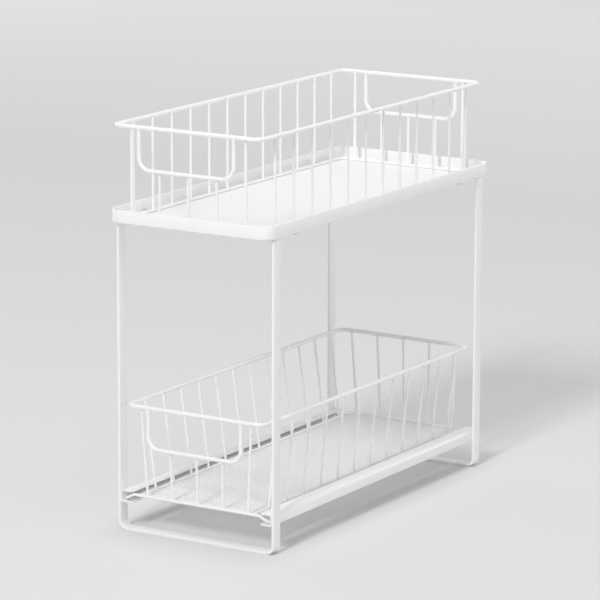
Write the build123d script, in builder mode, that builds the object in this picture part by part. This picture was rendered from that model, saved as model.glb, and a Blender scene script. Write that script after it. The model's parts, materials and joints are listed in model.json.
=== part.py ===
"""Two-tier under sink organizer: a tray rack over a sliding wire basket.

Millimetres, +Z up. The origin is on the floor, under the middle of the tray.
+X is to the right along the narrow front and the front faces -Y.
"""

from build123d import *
import math
import os

# Tray
tray_width = 178.0
tray_depth = 420.0
tray_wall_height = 13.0
tray_sheet = 1.2
tray_corner_radius = 13.0
tray_bend_radius = 2.0
deck_height = 300.0  # underside of the tray above the floor

# Leg frames of flat bar
bar_width = 12.0
bar_thickness = 2.5
leg_side_inset = 1.6  # side of the tray to the outer face of a leg
leg_end_inset = 13.0  # end of the tray to the outer edge of a leg
foot_bend_radius = 9.0
tab_length = 24.5
tab_bend_radius = 5.0

# Rails of folded sheet
rail_base_height = 27.5  # underside of a rail above the floor
rail_sheet = 1.0
rail_flange_width = 12.55
rail_bend_radius = 1.5  # web to the lower flange
rail_shoulder_radius = 3.3  # web to the upper flange
rail_head_clearance = 3.65  # rear cross wire to the upper flange
rail_nose_radius = 3.5

# Wires, by diameter
rim_wire = 4.2
handle_wire = 4.0
post_wire = 3.1
short_wire = 2.6
upright_wire = 2.5
ring_wire = 3.0
slide_wire = 3.0
cross_wire = 2.5
base_wire = 3.0
weld_gap = 0.05  # left between two wires where a weld bead joins them
wire_sides = 8  # a wire is drawn as a prism with its corners on its circle

# Rack on the tray
rack_height = 93.1  # middle of the rim above the underside of the tray
rack_side_inset = 8.7  # side of the tray to the middle of the rim
rack_front_overhang = 2.3  # how far the rim stands out past the tray
rack_rear_inset = 9.4
rack_rim_radius = 8.0
rack_ring_inset = 1.9  # side run of the rim to that of the base ring
rack_first_inset = 25.3  # front run of the base ring to the first upright
rack_last_inset = 21.7  # last upright to the rear run
rack_post_inset = 15.6  # side run of the base ring to a post
rack_handle_drop = 39.9
rack_handle_inset = 28.1  # side run of the rim to a leg of a handle
handle_bend_radius = 12.0
upright_count = 12
end_wire_count = 5

# Lugs that hold the rack to the tray
lug_end_inset = 56.5  # end of the tray to the middle of a lug
lug_reach = 5.8  # middle of the ring wire to the middle of the screw
lug_width = 5.4
lug_thickness = 1.2
screw_shank = 3.0
screw_hole_clearance = 0.2  # on the radius
screw_head_diameter = 5.3
screw_head_height = 1.6
screw_end = 0.6  # shank that shows below the nut
nut_across_flats = 5.5
nut_height = 2.2
thread_gap = 0.05  # on the radius, between a screw and its nut
screw_sides = 12

# Sliding basket
slide_clearance = 0.3  # under the runners
runner_side_clearance = 0.8
runner_end_inset = 7.0  # rear end of a rail to the end of a runner
front_run_inset = 2.0  # front end of a rail to the middle of the front run
rise_inset = 11.0  # runner to the bend where the front run has risen
slide_bend_radius = 6.0
rise_bend_radius = 3.0
base_side_gap = 19.3  # leg to the base wire
basket_height = 87.55  # middle of the rim above the middle of the base wire
basket_side_gap = 8.9  # leg to the middle of the rim
basket_front_lean = 2.8  # front run to the middle of the rim above it
basket_rear_inset = 3.5  # rear end of a rail to the middle of the rim
basket_rim_radius = 8.5
base_corner_radius = 5.5
base_rear_inset = 3.0
basket_top_inset = 2.6  # middle of the rim to the tops of the wires below it
basket_first_inset = 27.2  # front run of the rim to the first upright's top
basket_last_inset = 25.9
basket_upright_rake = 2.9  # feet lie this far behind the tops
basket_post_inset = 14.5  # side run of the rim to the top of a post
basket_foot_inset = 7.5  # base wire to the foot of a post
basket_handle_drop = 39.5
basket_handle_inset = 24.2
cross_wire_count = 5
cross_front_inset = 14.0  # front run to the first cross wire
cross_rear_inset = 2.5  # last cross wire to the rear end of a runner

# Floor sheet of the basket
floor_sheet = 0.8
floor_clearance = 0.3
floor_border = 5.0
floor_bridge = 3.4  # between two openings of one row
floor_pitch_x = 28.4
floor_pitch_y = 24.6

# Overrun of cuts
overrun = 1.0

# Places that follow from the sizes
half_width = tray_width / 2
half_depth = tray_depth / 2
leg_outer = half_width - leg_side_inset
leg_inner = leg_outer - bar_thickness
rail_end = half_depth - leg_end_inset
tray_floor = deck_height + tray_sheet

rack_rim_z = deck_height + rack_height
rack_rim_x = half_width - rack_side_inset
rack_front_y = rim_wire / 2 - rack_front_overhang - half_depth
rack_rear_y = half_depth - rack_rear_inset
rack_wire_top = rack_rim_z - rim_wire / 2 - weld_gap
ring_z = tray_floor + ring_wire / 2
ring_top = ring_z + ring_wire / 2 + weld_gap
ring_x = rack_rim_x - rack_ring_inset
post_offset = rim_wire / 2 + weld_gap + post_wire / 2
ring_front_y = rack_front_y + post_offset
ring_rear_y = rack_rear_y - post_offset
rack_post_x = ring_x - rack_post_inset
rack_handle_z = rack_rim_z - rack_handle_drop
lug_x = ring_x + lug_reach
lug_y = half_depth - lug_end_inset
lug_places = [(sx * lug_x, sy * lug_y) for sx in (-1, 1) for sy in (-1, 1)]
hole_radius = screw_shank / 2 + screw_hole_clearance

rail_web = leg_inner - rail_sheet
runner_x = rail_web - runner_side_clearance - slide_wire / 2
runner_z = rail_base_height + rail_sheet + slide_clearance + slide_wire / 2
cross_z = runner_z + slide_wire / 2 + weld_gap + cross_wire / 2
cross_top = cross_z + cross_wire / 2
rail_height = cross_top + rail_head_clearance + rail_sheet - rail_base_height
base_z = cross_top + weld_gap + base_wire / 2
base_x = leg_inner - base_side_gap - base_wire / 2
front_run_y = front_run_inset - rail_end
base_rear_y = rail_end - base_rear_inset

basket_rim_z = base_z + basket_height
basket_rim_x = leg_inner - basket_side_gap
basket_front_y = front_run_y - basket_front_lean
basket_rear_y = rail_end - basket_rear_inset
basket_wire_top = basket_rim_z - rim_wire / 2 - weld_gap
basket_handle_z = basket_rim_z - basket_handle_drop

os.makedirs("parts", exist_ok=True)


def save(piece, name):
    """Label a finished piece and write its file."""
    piece.label = name
    export_step(piece, f"parts/{name}.step")


def rounded_ring(half_x, front_y, rear_y, z, corner, wire):
    """A closed wire ring, swept from the middle of its front run."""
    right_half = [(0, front_y, z), (half_x, front_y, z), (half_x, rear_y, z), (0, rear_y, z)]
    with BuildPart() as ring:
        with BuildLine() as path:
            FilletPolyline(right_half, radius=corner)
            mirror(about=Plane.YZ)
        with BuildSketch(Plane(origin=right_half[0], z_dir=(1, 0, 0))):
            RegularPolygon(wire / 2, wire_sides)
        sweep(path=path.wire())
    return ring.part


def bent_wire(points, radii, wire):
    """An open wire bent at each inner point to the radius given there."""
    with BuildPart() as bent:
        with BuildLine() as path:
            FilletPolyline(points, radius=radii)
        with BuildSketch(Plane(origin=path.line @ 0, z_dir=path.line % 0)):
            RegularPolygon(wire / 2, wire_sides)
        sweep(path=path.wire())
    return bent.part


def drop_handle(half_width, y, rim_z, drop):
    """A low U of wire whose ends butt against the rim from below."""
    top_z = rim_z - rim_wire / 2 - weld_gap
    points = [
        (-half_width, y, top_z),
        (-half_width, y, rim_z - drop),
        (half_width, y, rim_z - drop),
        (half_width, y, top_z),
    ]
    return bent_wire(points, [handle_bend_radius] * 2, handle_wire)


def straight_wires(feet_and_tops, wire):
    """Straight wires, each from its foot to its top."""
    with BuildPart() as wires:
        for foot, top in feet_and_tops:
            run = Vector(*top) - Vector(*foot)
            with BuildSketch(Plane(origin=foot, z_dir=run)):
                RegularPolygon(wire / 2, wire_sides)
            extrude(amount=run.length)
    return wires.part


def spread(count, first, last):
    """Evenly spaced places from the first to the last."""
    return [first + (last - first) * i / (count - 1) for i in range(count)]


def point_at_height(foot, top, z):
    """The point of a leaning wire at a height."""
    share = (z - foot[2]) / (top[2] - foot[2])
    return tuple(a + (b - a) * share for a, b in zip(foot, top))


# Tray: a pressed pan, open at the top
with BuildPart() as top_tray:
    with BuildSketch(Plane.XY.offset(deck_height)):
        RectangleRounded(tray_width, tray_depth, tray_corner_radius)
    extrude(amount=tray_wall_height)
    fillet(top_tray.faces().sort_by(Axis.Z)[0].edges(), tray_bend_radius)
    offset(amount=-tray_sheet, openings=top_tray.faces().sort_by(Axis.Z)[-1])
    with BuildSketch(Plane.XY.offset(deck_height - overrun)):
        with Locations(*lug_places):
            RegularPolygon(hole_radius, screw_sides)
    extrude(amount=tray_sheet + 2 * overrun, mode=Mode.SUBTRACT)
save(top_tray.part, "top_tray")


def leg_frame(front_face_y):
    """A flat bar bent to two legs, a floor run and two tabs under the tray."""
    with BuildPart() as frame:
        with BuildSketch(Plane.XZ.offset(-front_face_y)) as outline:
            with Locations((0, deck_height / 2)):
                Rectangle(2 * leg_outer, deck_height)
            fillet(outline.vertices().group_by(Axis.Y)[0], foot_bend_radius)
            fillet(outline.vertices().group_by(Axis.Y)[-1], tab_bend_radius)
            offset(amount=-bar_thickness, mode=Mode.SUBTRACT)
            with Locations((0, deck_height)):
                Rectangle(2 * (leg_outer - tab_length), 3 * bar_thickness, mode=Mode.SUBTRACT)
        extrude(amount=-bar_width)
    return frame.part


save(leg_frame(-rail_end), "front_leg_frame")
save(leg_frame(rail_end - bar_width), "rear_leg_frame")


def rail(side):
    """A folded channel that opens inwards, with its front corners rounded."""
    closed_width = rail_flange_width + rail_sheet
    middle_z = rail_base_height + rail_height / 2
    with BuildPart() as channel:
        with BuildSketch(Plane.XZ.offset(-rail_end)) as profile:
            with Locations((side * (leg_inner - closed_width / 2), middle_z)):
                Rectangle(closed_width, rail_height)
            shoulder = profile.vertices().sort_by(lambda v: side * v.X + v.Y)[-1]
            fillet(shoulder, rail_shoulder_radius)
            heel = profile.vertices().sort_by(lambda v: side * v.X - v.Y)[-1]
            fillet(heel, rail_bend_radius)
            offset(amount=-rail_sheet, mode=Mode.SUBTRACT)
            with Locations((side * (leg_inner - closed_width), middle_z)):
                Rectangle(2 * rail_sheet, rail_height, mode=Mode.SUBTRACT)
        extrude(amount=2 * rail_end)
        inner_edges = channel.edges().filter_by(Axis.Z).filter_by(
            lambda e: abs(e.center().X) < leg_inner - rail_flange_width + rail_sheet / 2
        )
        nose = inner_edges.group_by(Axis.Y)[0]
        fillet(nose, rail_nose_radius)
    return channel.part


save(rail(-1), "left_rail")
save(rail(1), "right_rail")

# Rack on the tray
rack_rim = rounded_ring(
    rack_rim_x, rack_front_y, rack_rear_y, rack_rim_z, rack_rim_radius, rim_wire
)
save(rack_rim, "rack_rim")
rack_base_ring = rounded_ring(
    ring_x, ring_front_y, ring_rear_y, ring_z, rack_rim_radius, ring_wire
)
save(rack_base_ring, "rack_base_ring")

for name, y in (("front", rack_front_y), ("rear", rack_rear_y)):
    handle = drop_handle(rack_rim_x - rack_handle_inset, y, rack_rim_z, rack_handle_drop)
    save(handle, f"rack_{name}_handle")

for name, side in (("left", -1), ("right", 1)):
    places = spread(upright_count, ring_front_y + rack_first_inset, ring_rear_y - rack_last_inset)
    x = side * ring_x
    wires = [((x, y, ring_top), (x, y, rack_wire_top)) for y in places]
    save(straight_wires(wires, upright_wire), f"rack_{name}_wires")

short_offset = handle_wire / 2 + weld_gap + short_wire / 2
for name, post_y, short_y in (
    ("front", ring_front_y, rack_front_y + short_offset),
    ("rear", ring_rear_y, rack_rear_y - short_offset),
):
    for side_name, side in (("left", -1), ("right", 1)):
        x = side * rack_post_x
        post = [((x, post_y, ring_top), (x, post_y, rack_rim_z))]
        save(straight_wires(post, post_wire), f"rack_{name}_{side_name}_post")
    wires = [
        ((x, short_y, ring_top), (x, short_y, rack_handle_z))
        for x in spread(end_wire_count, -rack_post_x, rack_post_x)[1:-1]
    ]
    save(straight_wires(wires, short_wire), f"rack_{name}_short_wires")

# Lugs, screws and nuts
lug_inner = lug_reach - ring_wire / 2 - weld_gap
with BuildPart() as rack_lugs:
    for x, y in lug_places:
        inward = -math.copysign(1, x)
        with BuildSketch(Plane.XY.offset(tray_floor)):
            with Locations((x, y)):
                Circle(lug_width / 2)
            with Locations((x + inward * lug_inner / 2, y)):
                Rectangle(lug_inner, lug_width)
            with Locations((x, y)):
                RegularPolygon(hole_radius, screw_sides, mode=Mode.SUBTRACT)
        extrude(amount=lug_thickness)
save(rack_lugs.part, "rack_lugs")

lug_top = tray_floor + lug_thickness
screw_bottom = deck_height - nut_height - screw_end
with BuildPart() as tray_screws:
    for x, y in lug_places:
        with BuildSketch(Plane.XY.offset(screw_bottom)):
            with Locations((x, y)):
                RegularPolygon(screw_shank / 2, screw_sides)
        extrude(amount=lug_top - screw_bottom)
        with BuildSketch(Plane.XY.offset(lug_top)):
            with Locations((x, y)):
                RegularPolygon(screw_head_diameter / 2, screw_sides)
        extrude(amount=screw_head_height)
save(tray_screws.part, "tray_screws")

with BuildPart() as tray_nuts:
    with BuildSketch(Plane.XY.offset(deck_height)):
        with Locations(*lug_places):
            RegularPolygon(nut_across_flats / 2, 6, major_radius=False)
            RegularPolygon(screw_shank / 2 + thread_gap, screw_sides, mode=Mode.SUBTRACT)
    extrude(amount=-nut_height)
save(tray_nuts.part, "tray_nuts")

# Sliding basket: rim, handle and walls
basket_rim = rounded_ring(
    basket_rim_x, basket_front_y, basket_rear_y, basket_rim_z, basket_rim_radius, rim_wire
)
save(basket_rim, "basket_rim")
basket_handle = drop_handle(
    basket_rim_x - basket_handle_inset, basket_front_y, basket_rim_z, basket_handle_drop
)
save(basket_handle, "basket_handle")

base_top = base_z + base_wire / 2 + weld_gap
side_top_x = basket_rim_x - basket_top_inset
side_lean = math.atan((side_top_x - base_x) / basket_height)
foot_lift = upright_wire / 2 * math.sin(side_lean)
for name, side in (("left", -1), ("right", 1)):
    places = spread(
        upright_count, basket_front_y + basket_first_inset, basket_rear_y - basket_last_inset
    )
    wires = [
        (
            (side * base_x, y + basket_upright_rake, base_top + foot_lift),
            (side * side_top_x, y, basket_wire_top),
        )
        for y in places
    ]
    save(straight_wires(wires, upright_wire), f"basket_{name}_wires")

front_foot_y = front_run_y + slide_wire / 2 + weld_gap + short_wire / 2
front_top_y = basket_front_y + basket_top_inset
rear_top_y = basket_rear_y - basket_top_inset
foot_x = base_x - basket_foot_inset
top_x = basket_rim_x - basket_post_inset
end_places = list(
    zip(spread(end_wire_count, -foot_x, foot_x), spread(end_wire_count, -top_x, top_x))
)
front_wires = [
    ((foot, front_foot_y, base_z), (top, front_top_y, basket_wire_top)) for foot, top in end_places
]
for side_name, wire in (("left", front_wires[0]), ("right", front_wires[-1])):
    save(straight_wires([wire], short_wire), f"basket_front_{side_name}_post")

basket_short_y = basket_front_y + short_offset
short_wires = []
for foot, top in front_wires[1:-1]:
    x = point_at_height(foot, top, basket_handle_z)[0]
    short_wires.append((foot, (x, basket_short_y, basket_handle_z)))
save(straight_wires(short_wires, short_wire), "basket_front_short_wires")

rear_lean = math.atan((base_rear_y - rear_top_y) / basket_height)
rear_foot_z = base_top + short_wire / 2 * math.sin(rear_lean)
rear_wires = [
    ((foot, base_rear_y, rear_foot_z), (top, rear_top_y, basket_wire_top))
    for foot, top in end_places
]
save(straight_wires(rear_wires, short_wire), "basket_rear_wires")

# Base frame, slide frame and cross wires
base_front_y = front_run_y + slide_wire / 2 + weld_gap
base_points = [
    (base_x, base_front_y, base_z),
    (base_x, base_rear_y, base_z),
    (-base_x, base_rear_y, base_z),
    (-base_x, base_front_y, base_z),
]
save(bent_wire(base_points, [base_corner_radius] * 2, base_wire), "basket_base_frame")

runner_rear_y = rail_end - runner_end_inset
rise_x = runner_x - rise_inset
slide_points = [
    (runner_x, runner_rear_y, runner_z),
    (runner_x, front_run_y, runner_z),
    (rise_x, front_run_y, base_z),
    (-rise_x, front_run_y, base_z),
    (-runner_x, front_run_y, runner_z),
    (-runner_x, runner_rear_y, runner_z),
]
slide_radii = [slide_bend_radius, rise_bend_radius, rise_bend_radius, slide_bend_radius]
save(bent_wire(slide_points, slide_radii, slide_wire), "basket_slide_frame")

# The last cross wire reaches over both runners, the others end at the base frame
cross_places = spread(
    cross_wire_count, front_run_y + cross_front_inset, runner_rear_y - cross_rear_inset
)
cross_ends = [base_x + base_wire / 2] * (cross_wire_count - 1) + [runner_x + slide_wire / 2]
cross_wires = [((-x, y, cross_z), (x, y, cross_z)) for x, y in zip(cross_ends, cross_places)]
save(straight_wires(cross_wires, cross_wire), "basket_cross_wires")

# Floor sheet with staggered diamond openings
floor_half_x = base_x - base_wire / 2 - floor_clearance
floor_front_y = front_foot_y + short_wire / 2 + floor_clearance
floor_rear_y = base_rear_y - base_wire / 2 - floor_clearance
floor_length = floor_rear_y - floor_front_y
floor_middle_y = (floor_front_y + floor_rear_y) / 2
floor_corner_radius = base_corner_radius - base_wire / 2 - floor_clearance
columns = int((2 * (floor_half_x - floor_border) + floor_bridge) // floor_pitch_x)
rows = int((floor_length - 2 * floor_border + floor_bridge) // floor_pitch_y)
diamond_x = (floor_pitch_x - floor_bridge) / 2
diamond_y = (floor_pitch_y - floor_bridge) / 2
diamond = [(diamond_x, 0), (0, diamond_y), (-diamond_x, 0), (0, -diamond_y)]
with BuildPart() as basket_floor_mesh:
    with BuildSketch(Plane.XY.offset(cross_top + weld_gap)):
        with Locations((0, floor_middle_y)):
            RectangleRounded(2 * floor_half_x, floor_length, floor_corner_radius)
            with GridLocations(floor_pitch_x, floor_pitch_y, columns, rows):
                Polygon(*diamond, mode=Mode.SUBTRACT)
            with GridLocations(floor_pitch_x, floor_pitch_y, columns - 1, rows - 1):
                Polygon(*diamond, mode=Mode.SUBTRACT)
    extrude(amount=floor_sheet)
save(basket_floor_mesh.part, "basket_floor_mesh")
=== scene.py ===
# %% [markdown]
# # Two-tier under sink organizer
#
# This notebook dresses a measured model of a white steel organizer: a tray with a
# wire rack on top, and a wire basket that slides on two rails below. The measured
# model is loaded first and never changes. Each of its pieces is then modelled again
# with round wires and soft edges, and takes its place.

# %% Load the measured model
import json
import math

import bmesh
import bpy
from mathutils import Matrix, Vector


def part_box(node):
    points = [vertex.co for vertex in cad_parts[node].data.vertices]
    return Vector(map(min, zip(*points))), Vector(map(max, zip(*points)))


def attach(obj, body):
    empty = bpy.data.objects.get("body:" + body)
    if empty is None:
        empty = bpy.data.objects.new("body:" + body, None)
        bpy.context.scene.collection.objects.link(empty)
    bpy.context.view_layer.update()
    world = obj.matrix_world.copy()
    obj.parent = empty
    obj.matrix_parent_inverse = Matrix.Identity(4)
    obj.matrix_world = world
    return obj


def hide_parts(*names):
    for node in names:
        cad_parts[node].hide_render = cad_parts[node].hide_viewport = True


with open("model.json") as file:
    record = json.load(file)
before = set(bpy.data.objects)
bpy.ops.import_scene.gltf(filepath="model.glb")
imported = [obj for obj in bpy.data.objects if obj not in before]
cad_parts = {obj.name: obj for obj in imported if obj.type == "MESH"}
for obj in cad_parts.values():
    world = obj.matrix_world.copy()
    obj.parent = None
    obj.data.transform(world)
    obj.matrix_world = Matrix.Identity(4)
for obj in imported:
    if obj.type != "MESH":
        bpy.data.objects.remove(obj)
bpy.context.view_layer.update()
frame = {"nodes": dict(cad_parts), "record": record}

body_of = {
    node: body for body, nodes in frame["record"]["behaviour"]["bodies"].items() for node in nodes
}
print(len(body_of), "measured pieces")

# %% [markdown]
# ## Camera
#
# The photograph was taken with a long lens from the front right, a little above the
# tray. A camera is placed by the direction it looks from, so three angles and a
# distance are enough. It looks at a point near the middle of the object.

# %% Camera
view_azimuth = math.radians(31.74)
view_elevation = math.radians(12.13)
view_roll = math.radians(0.2)
view_distance = 3.51092
view_target = Vector((-0.00469, -0.0029, 0.19797))
lens_length = 215.7
far_limit = 100

backward = Vector((
    math.sin(view_azimuth) * math.cos(view_elevation),
    -math.cos(view_azimuth) * math.cos(view_elevation),
    math.sin(view_elevation),
))
bpy.ops.object.camera_add(location=view_target + backward * view_distance)
camera = bpy.context.object
camera.rotation_euler = (
    backward.to_track_quat("Z", "Y").to_matrix() @ Matrix.Rotation(view_roll, 3, "Z")
).to_euler()
camera.data.lens = lens_length
camera.data.clip_end = far_limit
bpy.context.scene.camera = camera
print("camera at", tuple(round(value, 3) for value in camera.location))

# %% [markdown]
# ## Shader sums
#
# A procedural finish is a sum of patterns. Wiring Math nodes by hand hides the sum,
# so a small class wraps a socket: adding or multiplying two of them adds the Math
# node. One method makes every other node, with its settings set first.


# %% A socket that can stand in a sum
class Signal:
    """One output of a shader node."""

    def __init__(self, tree, socket=None):
        self.tree = tree
        self.socket = socket

    def node(self, kind, settings=None, inputs=None, output=0):
        """Add a node, set it up, and return one of its outputs."""
        made = self.tree.nodes.new(kind)
        for name, value in (settings or {}).items():
            setattr(made, name, value)
        for name, value in (inputs or {}).items():
            if isinstance(value, Signal):
                self.tree.links.new(value.socket, made.inputs[name])
            else:
                made.inputs[name].default_value = value
        return Signal(self.tree, made.outputs[output])

    def math(self, operation, first, second):
        return self.node("ShaderNodeMath", {"operation": operation}, {0: first, 1: second})

    def __add__(self, other):
        return self.math("ADD", self, other)

    __radd__ = __add__

    def __mul__(self, other):
        return self.math("MULTIPLY", self, other)

    __rmul__ = __mul__


# %% Helpers for every finish
noise_detail = 2.0


def new_finish(name):
    """An empty material, and a signal to start its sums from."""
    material = bpy.data.materials.new(name)
    material.use_nodes = True
    material.node_tree.nodes.clear()
    return material, Signal(material.node_tree)


def noise(start, place, size):
    """Soft random spots of about one size, in metres."""
    inputs = {"Vector": place, "Scale": 1 / size, "Detail": noise_detail}
    return start.node("ShaderNodeTexNoise", None, inputs)


def blend_colours(start, share, low, high):
    """A colour between two, by a share from 0 to 1."""
    # A Mix node has sockets for every data type: 6, 7 and output 2 are the colours.
    inputs = {0: share, 6: (*low, 1), 7: (*high, 1)}
    return start.node("ShaderNodeMix", {"data_type": "RGBA"}, inputs, 2)


def set_surface(start, shader):
    """Join a shader to the material's output."""
    made = start.tree.nodes.new("ShaderNodeOutputMaterial")
    start.tree.links.new(shader.socket, made.inputs["Surface"])


# %% [markdown]
# ## White powder coat
#
# Powder coat is a thick baked paint. It is satin, not glossy, and up close it has a
# fine orange peel. Two patterns make it: a slow drift, where the coat is a little
# thicker or thinner, and the orange peel, which is also the bump. Tone and roughness
# vary with both.

# %% White powder coat
coat_light = (0.935, 0.935, 0.932)
coat_dark = (0.905, 0.906, 0.91)
drift_size = 0.06
peel_size = 0.0011
peel_depth = 0.00002
peel_strength = 0.5
coat_gloss = 0.3
coat_index = 1.5

powder_coat, start = new_finish("white_powder_coat")
place = start.node("ShaderNodeTexCoord", output="Object")
drift = noise(start, place, drift_size)
peel = noise(start, place, peel_size)
bump = start.node("ShaderNodeBump", None, {
    "Strength": peel_strength, "Distance": peel_depth, "Height": peel,
})
coat = start.node("ShaderNodeBsdfPrincipled", None, {
    "Base Color": blend_colours(start, 0.7 * drift + 0.3 * peel, coat_dark, coat_light),
    "Roughness": coat_gloss + 0.12 * drift + 0.1 * peel,
    "Normal": bump,
    "IOR": coat_index,
})
set_surface(start, coat)
print(len(powder_coat.node_tree.nodes), "nodes in the powder coat")

# %% [markdown]
# ## Zinc plate
#
# The small screws and nuts are bright zinc. Metal takes its look from what it
# reflects, so the colour stays plain and the roughness carries the fine grain of the
# plating, with a few duller spots from handling.

# %% Zinc plate
zinc_light = (0.78, 0.79, 0.8)
zinc_dark = (0.6, 0.61, 0.62)
stain_size = 0.0016
grain_size = 0.0002
zinc_gloss = 0.22

zinc, start = new_finish("zinc_plate")
place = start.node("ShaderNodeTexCoord", output="Object")
stain = noise(start, place, stain_size)
grain = noise(start, place, grain_size)
zinc_surface = start.node("ShaderNodeBsdfPrincipled", None, {
    "Base Color": blend_colours(start, stain, zinc_dark, zinc_light),
    "Roughness": zinc_gloss + 0.2 * stain + 0.08 * grain,
    "Metallic": 1.0,
})
set_surface(start, zinc_surface)
print(len(zinc.node_tree.nodes), "nodes in the zinc")

# %% [markdown]
# ## Studio
#
# The object stands on a pale floor that runs far behind it, so the floor is also the
# backdrop. It gets a little paler far away, where less light reaches it. A white
# object shows its form only by its shading, so the light is built from a dim white
# world and six soft boxes. The tall one in front is the strongest. It looks along the
# rails, so their shadows fall straight below them. One hangs overhead, one stands high
# on the right, and three low panels reach under the basket. The overhead one is kept
# out of reflections, because it would glare on the tray's floor when seen from above.

# %% Floor
floor_near = (0.732, 0.732, 0.734)
floor_far = (0.92, 0.92, 0.92)
floor_size = 40.0
fade_start = 1.5
fade_end = 3.2

bpy.ops.object.select_all(action="DESELECT")
bpy.ops.mesh.primitive_plane_add(size=floor_size)
floor = bpy.context.object
floor.name = "studio_floor"

floor_paint, start = new_finish("floor_paint")
place = start.node("ShaderNodeTexCoord", output="Object")
depth = start.node("ShaderNodeSeparateXYZ", None, {"Vector": place}, 1)
fade = start.node("ShaderNodeMapRange", None, {
    "Value": depth, "From Min": fade_start, "From Max": fade_end,
})
floor_shade = start.node("ShaderNodeBsdfDiffuse", None, {
    "Color": blend_colours(start, fade, floor_near, floor_far),
})
set_surface(start, floor_shade)
floor.data.materials.append(floor_paint)
print("floor", floor_size, "m")

# %% World
world_light = 0.36
world_seen = 0.7

world = bpy.data.worlds.new("studio")
world.use_nodes = True
world.node_tree.nodes.clear()
bpy.context.scene.world = world
start = Signal(world.node_tree)
ray = "ShaderNodeLightPath"
seen = start.node(ray, output="Is Camera Ray") + start.node(ray, output="Is Glossy Ray")
seen = start.math("MINIMUM", seen + start.node(ray, output="Is Transmission Ray"), 1.0)
strength = world_light + seen * (world_seen - world_light)
light = start.node("ShaderNodeBackground", None, {"Color": (1, 1, 1, 1), "Strength": strength})
output = world.node_tree.nodes.new("ShaderNodeOutputWorld")
world.node_tree.links.new(light.socket, output.inputs["Surface"])
print("world lights with", world_light, "and is seen as", world_seen)

# %% Soft boxes
# Azimuth and elevation in degrees, width, height and distance in metres, and watts.
soft_boxes = {
    "front_tall": (6, 36, 1.0, 1.5, 6.5, 192),
    "overhead": (6, 88, 0.8, 1.6, 6.5, 92),
    "left_low": (250, 10, 3.9, 2.6, 7.0, 155),
    "rear_low": (160, 10, 3.9, 2.6, 7.0, 73),
    "right_low": (100, 12, 3.9, 2.6, 7.0, 58),
    "right_high": (60, 60, 3.9, 3.0, 6.0, 36),
}

for name, (turn, rise, width, height, distance, watts) in soft_boxes.items():
    azimuth, elevation = math.radians(turn), math.radians(rise)
    towards_lamp = Vector((
        math.sin(azimuth) * math.cos(elevation),
        -math.cos(azimuth) * math.cos(elevation),
        math.sin(elevation),
    ))
    bpy.ops.object.light_add(type="AREA", location=view_target + towards_lamp * distance)
    lamp = bpy.context.object
    lamp.name = f"{name}_lamp"
    lamp.rotation_euler = towards_lamp.to_track_quat("Z", "Y").to_euler()
    lamp.data.shape = "RECTANGLE"
    lamp.data.size, lamp.data.size_y = width, height
    lamp.data.energy = watts
    lamp.visible_camera = False
    lamp.visible_glossy = name != "overhead"
    print(lamp.name, tuple(round(value, 2) for value in lamp.location))
bpy.context.scene.view_settings.view_transform = "Standard"

# %% [markdown]
# ## Working by hand in code
#
# Every piece below is modelled as one would at the screen: a primitive is added, its
# faces or edges are picked by where they are, and an operator changes what is picked.
# These helpers pick things, change them, and hand a finished piece over to its body.


# %% Picking
def leave_edit():
    """Go back to object mode, from whatever mode is on."""
    if bpy.context.mode != "OBJECT":
        bpy.ops.object.mode_set(mode="OBJECT")


def alone(piece):
    """Select one object and nothing else."""
    leave_edit()
    bpy.ops.object.select_all(action="DESELECT")
    piece.select_set(True)
    bpy.context.view_layer.objects.active = piece


def pick(piece, kind, wanted):
    """Enter edit mode with the vertices, edges or faces that pass a test selected."""
    alone(piece)
    bpy.ops.object.mode_set(mode="EDIT")
    bpy.ops.mesh.select_mode(type=kind)
    bpy.ops.mesh.select_all(action="DESELECT")
    mesh = bmesh.from_edit_mesh(piece.data)
    elements = {"VERT": mesh.verts, "EDGE": mesh.edges, "FACE": mesh.faces}[kind]
    for element in elements:
        element.select_set(wanted(element))
    bmesh.update_edit_mesh(piece.data)


def middle(element):
    """The middle of an edge or face."""
    points = [vertex.co for vertex in element.verts]
    return sum(points, Vector()) / len(points)


# %% Modifiers, copies and joining
smooth_angle = math.radians(35)


def apply_modifier(piece, kind, **settings):
    """Add a modifier, set it up and apply it."""
    alone(piece)
    modifier = piece.modifiers.new(kind.lower(), kind)
    for name, value in settings.items():
        setattr(modifier, name, value)
    bpy.ops.object.modifier_apply(modifier=modifier.name)


def soften_edges(piece, width, segments):
    """Round every edge that is sharper than the smooth angle."""
    apply_modifier(
        piece, "BEVEL", width=width, segments=segments,
        limit_method="ANGLE", angle_limit=smooth_angle,
    )


def copy_of(piece, matrix):
    """Another object with its own mesh, moved by a matrix."""
    twin = piece.copy()
    twin.data = piece.data.copy()
    twin.data.transform(matrix)
    bpy.context.collection.objects.link(twin)
    return twin


def join_all(pieces):
    """Join several objects to one."""
    if len(pieces) == 1:
        return pieces[0]
    bpy.ops.object.select_all(action="DESELECT")
    for piece in pieces:
        piece.select_set(True)
    bpy.context.view_layer.objects.active = pieces[0]
    bpy.ops.object.join()
    return bpy.context.object


# %% Handing over
def hand_over(piece, node, finish=powder_coat):
    """Finish a piece, and let it stand for a measured piece on that piece's body."""
    alone(piece)
    bpy.ops.object.transform_apply(location=True, rotation=True, scale=True)
    bpy.ops.object.shade_smooth_by_angle(angle=smooth_angle)
    piece.name = f"made_{node}"
    piece.data.materials.clear()
    piece.data.materials.append(finish)
    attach(piece, body_of[node])
    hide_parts(node)
    print(piece.name, len(piece.data.polygons), "faces")


# %% [markdown]
# ## Tray
#
# The tray is one pressed sheet: a flat floor, a low wall all round, wide corners and a
# small bend where the wall meets the floor. Starting from a solid block keeps the
# corners easy: the upright edges are beveled wide, then the edges of the underside,
# the top face is deleted, and a Solidify modifier gives the sheet its thickness.

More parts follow.
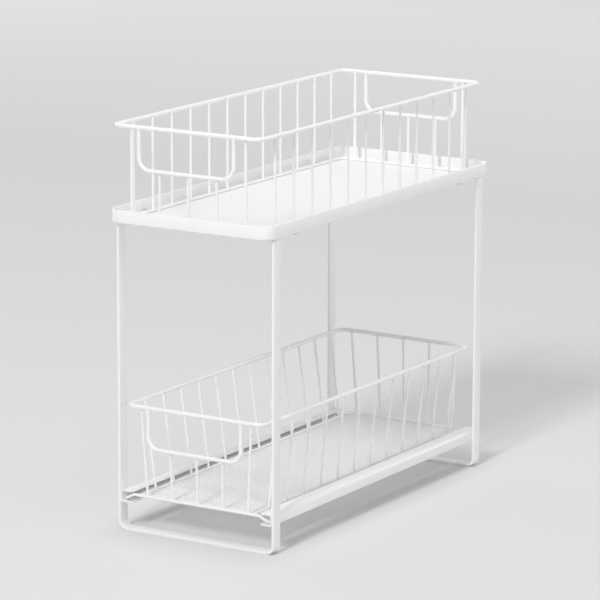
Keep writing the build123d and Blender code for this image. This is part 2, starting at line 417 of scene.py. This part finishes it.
# %% Tray
tray_corner = 0.013
tray_corner_segments = 14
tray_bend = 0.002
tray_bend_segments = 5
tray_sheet = 0.0012
lip_round = 0.00035
straight_on = 0.9


def upright(edge):
    """True for an edge whose ends differ in height."""
    return abs(edge.verts[0].co.z - edge.verts[1].co.z) > lip_round


def facing_up(face):
    return face.normal.z > straight_on


def facing_down(face):
    return face.normal.z < -straight_on


def block_between(low, high):
    """A solid block between two corners."""
    bpy.ops.object.select_all(action="DESELECT")
    bpy.ops.mesh.primitive_cube_add(size=1, location=(low + high) / 2, scale=high - low)
    bpy.ops.object.transform_apply(location=True, rotation=True, scale=True)
    return bpy.context.object


low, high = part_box("top_tray")
tray = block_between(low, high)
pick(tray, "EDGE", upright)
bpy.ops.mesh.bevel(offset=tray_corner, segments=tray_corner_segments)
pick(tray, "EDGE", lambda edge: max(vertex.co.z for vertex in edge.verts) < low.z + lip_round)
bpy.ops.mesh.bevel(offset=tray_bend, segments=tray_bend_segments)
pick(tray, "FACE", facing_up)
bpy.ops.mesh.delete(type="FACE")
leave_edit()
apply_modifier(tray, "SOLIDIFY", thickness=tray_sheet, offset=-1, use_even_offset=True)
soften_edges(tray, lip_round, segments=3)
hand_over(tray, "top_tray")

# %% [markdown]
# ## Leg frames
#
# Each leg frame is one flat bar, bent round the bottom to two legs and turned in at the
# top to two tabs under the tray. A bar like this is drawn as a bent line first. The
# line is extruded to a strip as wide as the bar, and a Solidify modifier makes the
# strip as thick as the bar, inwards, so that the outside keeps its measure. The rails
# are folded from sheet in the same way, so both share the helpers.

# %% A chain of edges with bent corners
corner_segments = 12


def chain(points, bends):
    """Edges from point to point, with each inner corner bent to its radius."""
    bpy.ops.object.select_all(action="DESELECT")
    bpy.ops.mesh.primitive_plane_add(size=1)
    piece = bpy.context.object
    pick(piece, "VERT", lambda vertex: True)
    bpy.ops.mesh.merge(type="CENTER")
    bpy.ops.transform.translate(value=points[0])
    for here, there in zip(points, points[1:]):
        bpy.ops.mesh.extrude_region_move(
            TRANSFORM_OT_translate={"value": Vector(there) - Vector(here)}
        )
    leave_edit()
    for i, bend in enumerate(bends):
        corner, before, after = (Vector(points[i + step]) for step in (1, 0, 2))
        turn = (corner - before).angle(after - corner)
        pick(piece, "VERT", lambda vertex: (vertex.co - corner).length < bend / corner_segments)
        bpy.ops.mesh.bevel(
            offset=bend * math.tan(turn / 2), segments=corner_segments, affect="VERTICES"
        )
        leave_edit()
    return piece


# %% A folded strip
def extrude_strip(line, depth):
    """Widen a chain of edges to a strip along Y."""
    pick(line, "EDGE", lambda edge: True)
    bpy.ops.mesh.extrude_region_move(TRANSFORM_OT_translate={"value": (0, depth, 0)})


def face_outwards(piece):
    """Recalculate which way the faces of a piece look."""
    pick(piece, "FACE", lambda face: True)
    bpy.ops.mesh.normals_make_consistent(inside=False)
    leave_edit()


def thicken_inwards(strip, thickness):
    """Make a bent strip solid. Its lowest face lies on the outside and should look down."""
    face_outwards(strip)
    lowest = min(strip.data.polygons, key=lambda face: face.center.z)
    inwards = -1 if lowest.normal.z < 0 else 1
    apply_modifier(strip, "SOLIDIFY", thickness=thickness, offset=inwards, use_even_offset=True)
    face_outwards(strip)


# %% Leg frames
bar_thickness = 0.0025
bar_edge = 0.0004
foot_bend = 0.009
tab_bend = 0.005
tab_length = 0.0245

for node in ("front_leg_frame", "rear_leg_frame"):
    low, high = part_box(node)
    outline = [
        (low.x + tab_length, low.y, high.z),
        (low.x, low.y, high.z),
        (low.x, low.y, low.z),
        (high.x, low.y, low.z),
        (high.x, low.y, high.z),
        (high.x - tab_length, low.y, high.z),
    ]
    bar = chain(outline, [tab_bend, foot_bend, foot_bend, tab_bend])
    extrude_strip(bar, high.y - low.y)
    thicken_inwards(bar, bar_thickness)
    soften_edges(bar, bar_edge, segments=3)
    hand_over(bar, node)

# %% [markdown]
# ## Rails
#
# A rail is a folded sheet channel that opens inwards. The runner of the basket lies on
# its lower flange, and the upper flange, over a wide round shoulder, keeps the runner
# in. The section is drawn as a bent line and extruded to length, and vertex bevels
# round the two front corners. The upper and lower edges reach a little further inwards
# than on the measured rail, as they do in the photograph.

# %% Rails
rail_sheet = 0.001
rail_bend = 0.0015
rail_shoulder = 0.0033
lip_reach = 0.001
nose_round = 0.0035
sheet_edge = 0.00025

for node, side in (("left_rail", -1), ("right_rail", 1)):
    low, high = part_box(node)
    web, edge_x = (high.x, low.x - lip_reach) if side > 0 else (low.x, high.x + lip_reach)
    section = [
        (edge_x, low.y, low.z),
        (web, low.y, low.z),
        (web, low.y, high.z),
        (edge_x, low.y, high.z),
    ]
    rail = chain(section, [rail_bend, rail_shoulder])
    extrude_strip(rail, high.y - low.y)
    corners = Vector(section[0]), Vector(section[-1])
    pick(rail, "VERT", lambda vertex: min((vertex.co - c).length for c in corners) < rail_sheet / 2)
    bpy.ops.mesh.bevel(offset=nose_round, segments=corner_segments, affect="VERTICES")
    thicken_inwards(rail, rail_sheet)
    soften_edges(rail, sheet_edge, segments=2)
    hand_over(rail, node)

# %% [markdown]
# ## Rims and rings
#
# A rim is one round wire bent to a closed rectangle. A plane gives its four corners.
# With its face deleted and its corners rounded, it becomes a curve, and a curve's own
# bevel gives it the round section. The curve is then made a mesh again.


# %% Round wires
section_resolution = 5


def round_section(piece, wire):
    """Turn a chain of edges into a round wire."""
    alone(piece)
    bpy.ops.object.convert(target="CURVE")
    curve = bpy.context.object
    curve.data.dimensions = "3D"
    curve.data.bevel_depth = wire / 2
    curve.data.bevel_resolution = section_resolution
    curve.data.use_fill_caps = True
    bpy.ops.object.convert(target="MESH")
    made = bpy.context.object
    pick(made, "FACE", lambda face: True)
    bpy.ops.mesh.remove_doubles(threshold=wire / 1000)
    bpy.ops.mesh.normals_make_consistent(inside=False)
    leave_edit()
    return made


def closed_wire(node, wire, corner):
    """A closed wire ring as large as a measured one."""
    low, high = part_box(node)
    size = high - low
    bpy.ops.object.select_all(action="DESELECT")
    bpy.ops.mesh.primitive_plane_add(size=1, location=(low + high) / 2)
    ring = bpy.context.object
    ring.scale = (size.x - wire, size.y - wire, 1)
    bpy.ops.object.transform_apply(location=True, rotation=True, scale=True)
    pick(ring, "FACE", lambda face: True)
    bpy.ops.mesh.delete(type="ONLY_FACE")
    bpy.ops.mesh.select_mode(type="VERT")
    bpy.ops.mesh.select_all(action="SELECT")
    bpy.ops.mesh.bevel(offset=corner, segments=corner_segments, affect="VERTICES")
    leave_edit()
    hand_over(round_section(ring, wire), node)


# %% Rims and the rack's base ring
rim_wire = 0.0042
ring_wire = 0.003
rack_corner = 0.008
basket_corner = 0.0085

closed_wire("rack_rim", rim_wire, rack_corner)
closed_wire("rack_base_ring", ring_wire, rack_corner)
closed_wire("basket_rim", rim_wire, basket_corner)

# %% [markdown]
# ## Handles
#
# Each handle is a wire bent to a low U, and its two ends are welded under the rim. They
# are drawn a little too long, so that they sink into the rim as a weld does.

# %% Handles
handle_wire = 0.004
handle_bend = 0.012
weld_bite = 0.0012

for node in ("rack_front_handle", "rack_rear_handle", "basket_handle"):
    low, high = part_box(node)
    y = (low.y + high.y) / 2
    left, right = low.x + handle_wire / 2, high.x - handle_wire / 2
    bottom, top = low.z + handle_wire / 2, high.z + weld_bite
    u_shape = [(left, y, top), (left, y, bottom), (right, y, bottom), (right, y, top)]
    handle = round_section(chain(u_shape, [handle_bend] * 2), handle_wire)
    hand_over(handle, node)


# %% [markdown]
# ## Straight wires
#
# The uprights, posts and short wires are straight, and there are many, so one of each
# length is modelled and copied. Their places come from the measured model: each wire
# there is a slim prism, and the middles of its two ends give its line. The blank is a
# cylinder whose ends flare a little, as a welded end does.


# %% Loose parts of a measured piece
same_place = 1e-6


def loose_parts(node):
    """The corner points and the longest edge of each loose part of a measured piece."""
    mesh = bmesh.new()
    mesh.from_mesh(frame["nodes"][node].data)
    bmesh.ops.remove_doubles(mesh, verts=mesh.verts, dist=same_place)
    parts, waiting = [], set(mesh.verts)
    while waiting:
        part, border = set(), [next(iter(waiting))]
        while border:
            vertex = border.pop()
            if vertex not in part:
                part.add(vertex)
                border += [edge.other_vert(vertex) for edge in vertex.link_edges]
        waiting -= part
        edges = (edge for vertex in part for edge in vertex.link_edges)
        first, last = max(edges, key=lambda edge: edge.calc_length()).verts
        points = [Vector(place) for place in sorted(tuple(vertex.co) for vertex in part)]
        parts.append((points, last.co - first.co))
    mesh.free()
    return parts


def in_rows(pairs):
    """Pairs of points in a fixed order."""
    return sorted(pairs, key=lambda pair: tuple(round(value, 4) for value in pair[0]))


def wire_lines(node):
    """Foot and top of each straight wire in a measured piece."""
    lines = []
    for points, run in loose_parts(node):
        along = sorted(points, key=lambda point: point.dot(run))
        half = len(along) // 2
        # Each half is sorted, so that its sum comes out the same in every run.
        halves = (sorted(along[:half], key=tuple), sorted(along[half:], key=tuple))
        ends = [sum(part, Vector()) / half for part in halves]
        lines.append(sorted(ends, key=lambda point: (round(point.z, 5), point.x)))
    return in_rows(lines)


# %% Wires copied from one blank
blank_sides = 16
flare_length = 0.0014
flare_steps = ((0.55, 1.06), (0.45, 1.22 / 1.06))


def wire_blank(length, wire):
    """An upright wire with flared ends, its foot at the origin."""
    bpy.ops.object.select_all(action="DESELECT")
    bpy.ops.mesh.primitive_cylinder_add(
        vertices=blank_sides, radius=wire / 2, depth=length - 2 * flare_length,
        location=(0, 0, length / 2),
    )
    bpy.ops.object.transform_apply(location=True, rotation=True, scale=True)
    blank = bpy.context.object
    for way, end_z, end_face in ((1, length, facing_up), (-1, 0, facing_down)):
        pick(blank, "FACE", end_face)
        for share, growth in flare_steps:
            bpy.ops.mesh.extrude_region_move(
                TRANSFORM_OT_translate={"value": (0, 0, way * share * flare_length)}
            )
            bpy.ops.transform.resize(value=(growth, growth, 1), center_override=(0, 0, end_z))
        leave_edit()
    return blank


def straight_wires(node, wire, bite_top=weld_bite, bite_foot=weld_bite):
    """All the straight wires of a measured piece, sunk a little into what they meet."""
    blanks, wires = {}, []
    for foot, top in wire_lines(node):
        length = round((top - foot).length + bite_top + bite_foot, 5)
        if length not in blanks:
            blanks[length] = wire_blank(length, wire)
        run = (top - foot).normalized()
        turn = run.to_track_quat("Z", "Y").to_matrix().to_4x4()
        start_point = foot - run * bite_foot
        wires.append(copy_of(blanks[length], Matrix.Translation(start_point) @ turn))
    for blank in blanks.values():
        bpy.data.objects.remove(blank)
    hand_over(join_all(wires), node)


# %% Uprights, posts and short wires
upright_wire = 0.0025
post_wire = 0.0031
short_wire = 0.0026
cross_wire = 0.0025

for side in ("left", "right"):
    straight_wires(f"rack_{side}_wires", upright_wire)
    straight_wires(f"basket_{side}_wires", upright_wire)
    straight_wires(f"basket_front_{side}_post", short_wire)
    straight_wires(f"rack_front_{side}_post", post_wire, bite_top=0)
    straight_wires(f"rack_rear_{side}_post", post_wire, bite_top=0)
for node in ("rack_front_short_wires", "basket_front_short_wires"):
    straight_wires(node, short_wire, bite_top=0)
straight_wires("rack_rear_short_wires", short_wire, bite_top=0)
straight_wires("basket_rear_wires", short_wire)
straight_wires("basket_cross_wires", cross_wire, bite_top=0, bite_foot=0)

# %% [markdown]
# ## Base frame and slide frame
#
# The basket stands on two bent wires. The base frame is a plain U that the side wires
# are welded to. The slide frame is the wire that runs in the rails: its front run
# rises from the runners to the level of the base frame, which takes four corners.

# %% Base frame and slide frame
base_wire = 0.003
base_corner = 0.0055
slide_wire = 0.003
slide_bend = 0.006
rise_bend = 0.003
rise_inset = 0.011

low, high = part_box("basket_base_frame")
front, rear = low.y, high.y - base_wire / 2
left, right, level = low.x + base_wire / 2, high.x - base_wire / 2, (low.z + high.z) / 2
base_points = [
    (right, front, level), (right, rear, level), (left, rear, level), (left, front, level),
]
hand_over(round_section(chain(base_points, [base_corner] * 2), base_wire), "basket_base_frame")

slide_low, slide_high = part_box("basket_slide_frame")
front, rear = slide_low.y + slide_wire / 2, slide_high.y
left, right = slide_low.x + slide_wire / 2, slide_high.x - slide_wire / 2
runner_level = slide_low.z + slide_wire / 2
slide_points = [
    (right, rear, runner_level),
    (right, front, runner_level),
    (right - rise_inset, front, level),
    (left + rise_inset, front, level),
    (left, front, runner_level),
    (left, rear, runner_level),
]
slide_bends = [slide_bend, rise_bend, rise_bend, slide_bend]
hand_over(round_section(chain(slide_points, slide_bends), slide_wire), "basket_slide_frame")

# %% [markdown]
# ## Basket floor
#
# The floor is a thin sheet of expanded metal, all small diamond openings, cut to size
# straight through its pattern. A grid turned by an eighth turn and stretched gives the
# diamonds, and four bisects cut it to size. Each of its faces is then inset by itself,
# and the inner faces are deleted, which leaves the strands. The long edges are sunk
# into the wires that carry the floor.

# %% Diamonds
diamond_x = 0.005
diamond_y = 0.0036
strand_width = 0.00065
strand_thickness = 0.0005
edge_bite = 0.0012
spare_rows = 2

low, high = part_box("basket_floor_mesh")
span_x, span_y = high.x - low.x + 2 * edge_bite, high.y - low.y
across = math.ceil(span_x / diamond_x + span_y / diamond_y) + spare_rows
side_length = diamond_x / math.sqrt(2)
bpy.ops.object.select_all(action="DESELECT")
bpy.ops.mesh.primitive_grid_add(
    x_subdivisions=across, y_subdivisions=across, size=across * side_length
)
floor_mesh = bpy.context.object
pick(floor_mesh, "FACE", lambda face: True)
bpy.ops.transform.rotate(value=math.pi / 4, orient_axis="Z", center_override=(0, 0, 0))
bpy.ops.transform.resize(value=(1, diamond_y / diamond_x, 1), center_override=(0, 0, 0))
print(across, "by", across, "diamonds before the cut")

# %% Basket floor
for place, normal in (
    ((span_x / 2, 0, 0), (1, 0, 0)), ((-span_x / 2, 0, 0), (-1, 0, 0)),
    ((0, span_y / 2, 0), (0, 1, 0)), ((0, -span_y / 2, 0), (0, -1, 0)),
):
    bpy.ops.mesh.select_all(action="SELECT")
    bpy.ops.mesh.bisect(plane_co=place, plane_no=normal, clear_outer=True)
bpy.ops.mesh.select_all(action="SELECT")
bpy.ops.mesh.inset(thickness=strand_width / 2, use_individual=True)
bpy.ops.mesh.delete(type="FACE")
leave_edit()
apply_modifier(floor_mesh, "SOLIDIFY", thickness=strand_thickness, offset=0)
middle_x, middle_y = (low.x + high.x) / 2, (low.y + high.y) / 2
floor_mesh.data.transform(Matrix.Translation((middle_x, middle_y, high.z - strand_thickness / 2)))
hand_over(floor_mesh, "basket_floor_mesh")

# %% [markdown]
# ## Lugs, screws and nuts
#
# Four small lugs on the base ring are screwed to the tray. They are tiny, but they
# show from above and below. Screws and nuts are turned from cylinders: the head is
# domed with a bevel and gets a cross recess, and the nut's corners are chamfered.

# %% Lugs
lug_edge = 0.0002


def small_boxes(node):
    """Lowest and highest corner of each loose part of a measured piece."""
    boxes = []
    for points, _ in loose_parts(node):
        corners = zip(*((min(values), max(values)) for values in zip(*points)))
        boxes.append([Vector(corner) for corner in corners])
    return in_rows(boxes)


lugs = []
for low, high in small_boxes("rack_lugs"):
    outer = 1 if low.x > 0 else -1
    width = high.y - low.y
    plate = block_between(low, high)
    tip_x = high.x if outer > 0 else low.x
    pick(plate, "EDGE", lambda edge: upright(edge) and abs(middle(edge).x - tip_x) < lug_edge)
    bpy.ops.mesh.bevel(offset=width / 2 - lug_edge, segments=corner_segments)
    leave_edit()
    soften_edges(plate, lug_edge, segments=2)
    lugs.append(plate)
hand_over(join_all(lugs), "rack_lugs")

# %% Screws
head_round = 0.0007
screw_shank = 0.003
head_height = 0.0016
recess_length = 0.0028
recess_width = 0.0007
recess_depth = 0.0007
round_sides = 32


def round_bar(sides, radius, low_z, high_z, centre):
    """A solid cylinder between two heights."""
    bpy.ops.object.select_all(action="DESELECT")
    bpy.ops.mesh.primitive_cylinder_add(
        vertices=sides, radius=radius, depth=high_z - low_z,
        location=(centre.x, centre.y, (low_z + high_z) / 2),
    )
    bpy.ops.object.transform_apply(location=True, rotation=True, scale=True)
    return bpy.context.object


screws = []
for low, high in small_boxes("tray_screws"):
    centre = (low + high) / 2
    head_low = high.z - head_height
    head = round_bar(round_sides, (high.x - low.x) / 2, head_low, high.z, centre)
    pick(head, "FACE", facing_up)
    bpy.ops.mesh.bevel(offset=head_round, segments=5, affect="EDGES")
    leave_edit()
    cutters = []
    for size in ((recess_length, recess_width), (recess_width, recess_length)):
        half = Vector((size[0] / 2, size[1] / 2, recess_depth))
        top = Vector((centre.x, centre.y, high.z))
        cutters.append(block_between(top - half, top + half))
    for cutter in cutters:
        apply_modifier(head, "BOOLEAN", operation="DIFFERENCE", object=cutter, solver="EXACT")
        bpy.data.objects.remove(cutter)
    shank = round_bar(round_sides, screw_shank / 2, low.z, head_low, centre)
    pick(shank, "FACE", facing_down)
    bpy.ops.mesh.bevel(offset=head_round / 2, segments=2, affect="EDGES")
    leave_edit()
    screws += [head, shank]
hand_over(join_all(screws), "tray_screws", zinc)

# %% Nuts
nut_sides = 6
nut_chamfer = 0.0004
bore_clearance = 0.00005

nuts = []
for low, high in small_boxes("tray_nuts"):
    centre = (low + high) / 2
    bpy.ops.object.select_all(action="DESELECT")
    bpy.ops.mesh.primitive_cylinder_add(
        vertices=nut_sides, radius=(high.x - low.x) / 2, depth=high.z - low.z,
        location=centre, rotation=(0, 0, math.pi / nut_sides),
    )
    bpy.ops.object.transform_apply(location=True, rotation=True, scale=True)
    nut = bpy.context.object
    land = (high.y - low.y) / 2 - nut_chamfer - screw_shank / 2 - bore_clearance
    pick(nut, "FACE", facing_down)
    bpy.ops.mesh.inset(thickness=nut_chamfer)
    bpy.ops.transform.translate(value=(0, 0, -nut_chamfer / 2))
    bpy.ops.mesh.inset(thickness=land)
    bpy.ops.mesh.delete(type="FACE")
    leave_edit()
    nuts.append(nut)
hand_over(join_all(nuts), "tray_nuts", zinc)
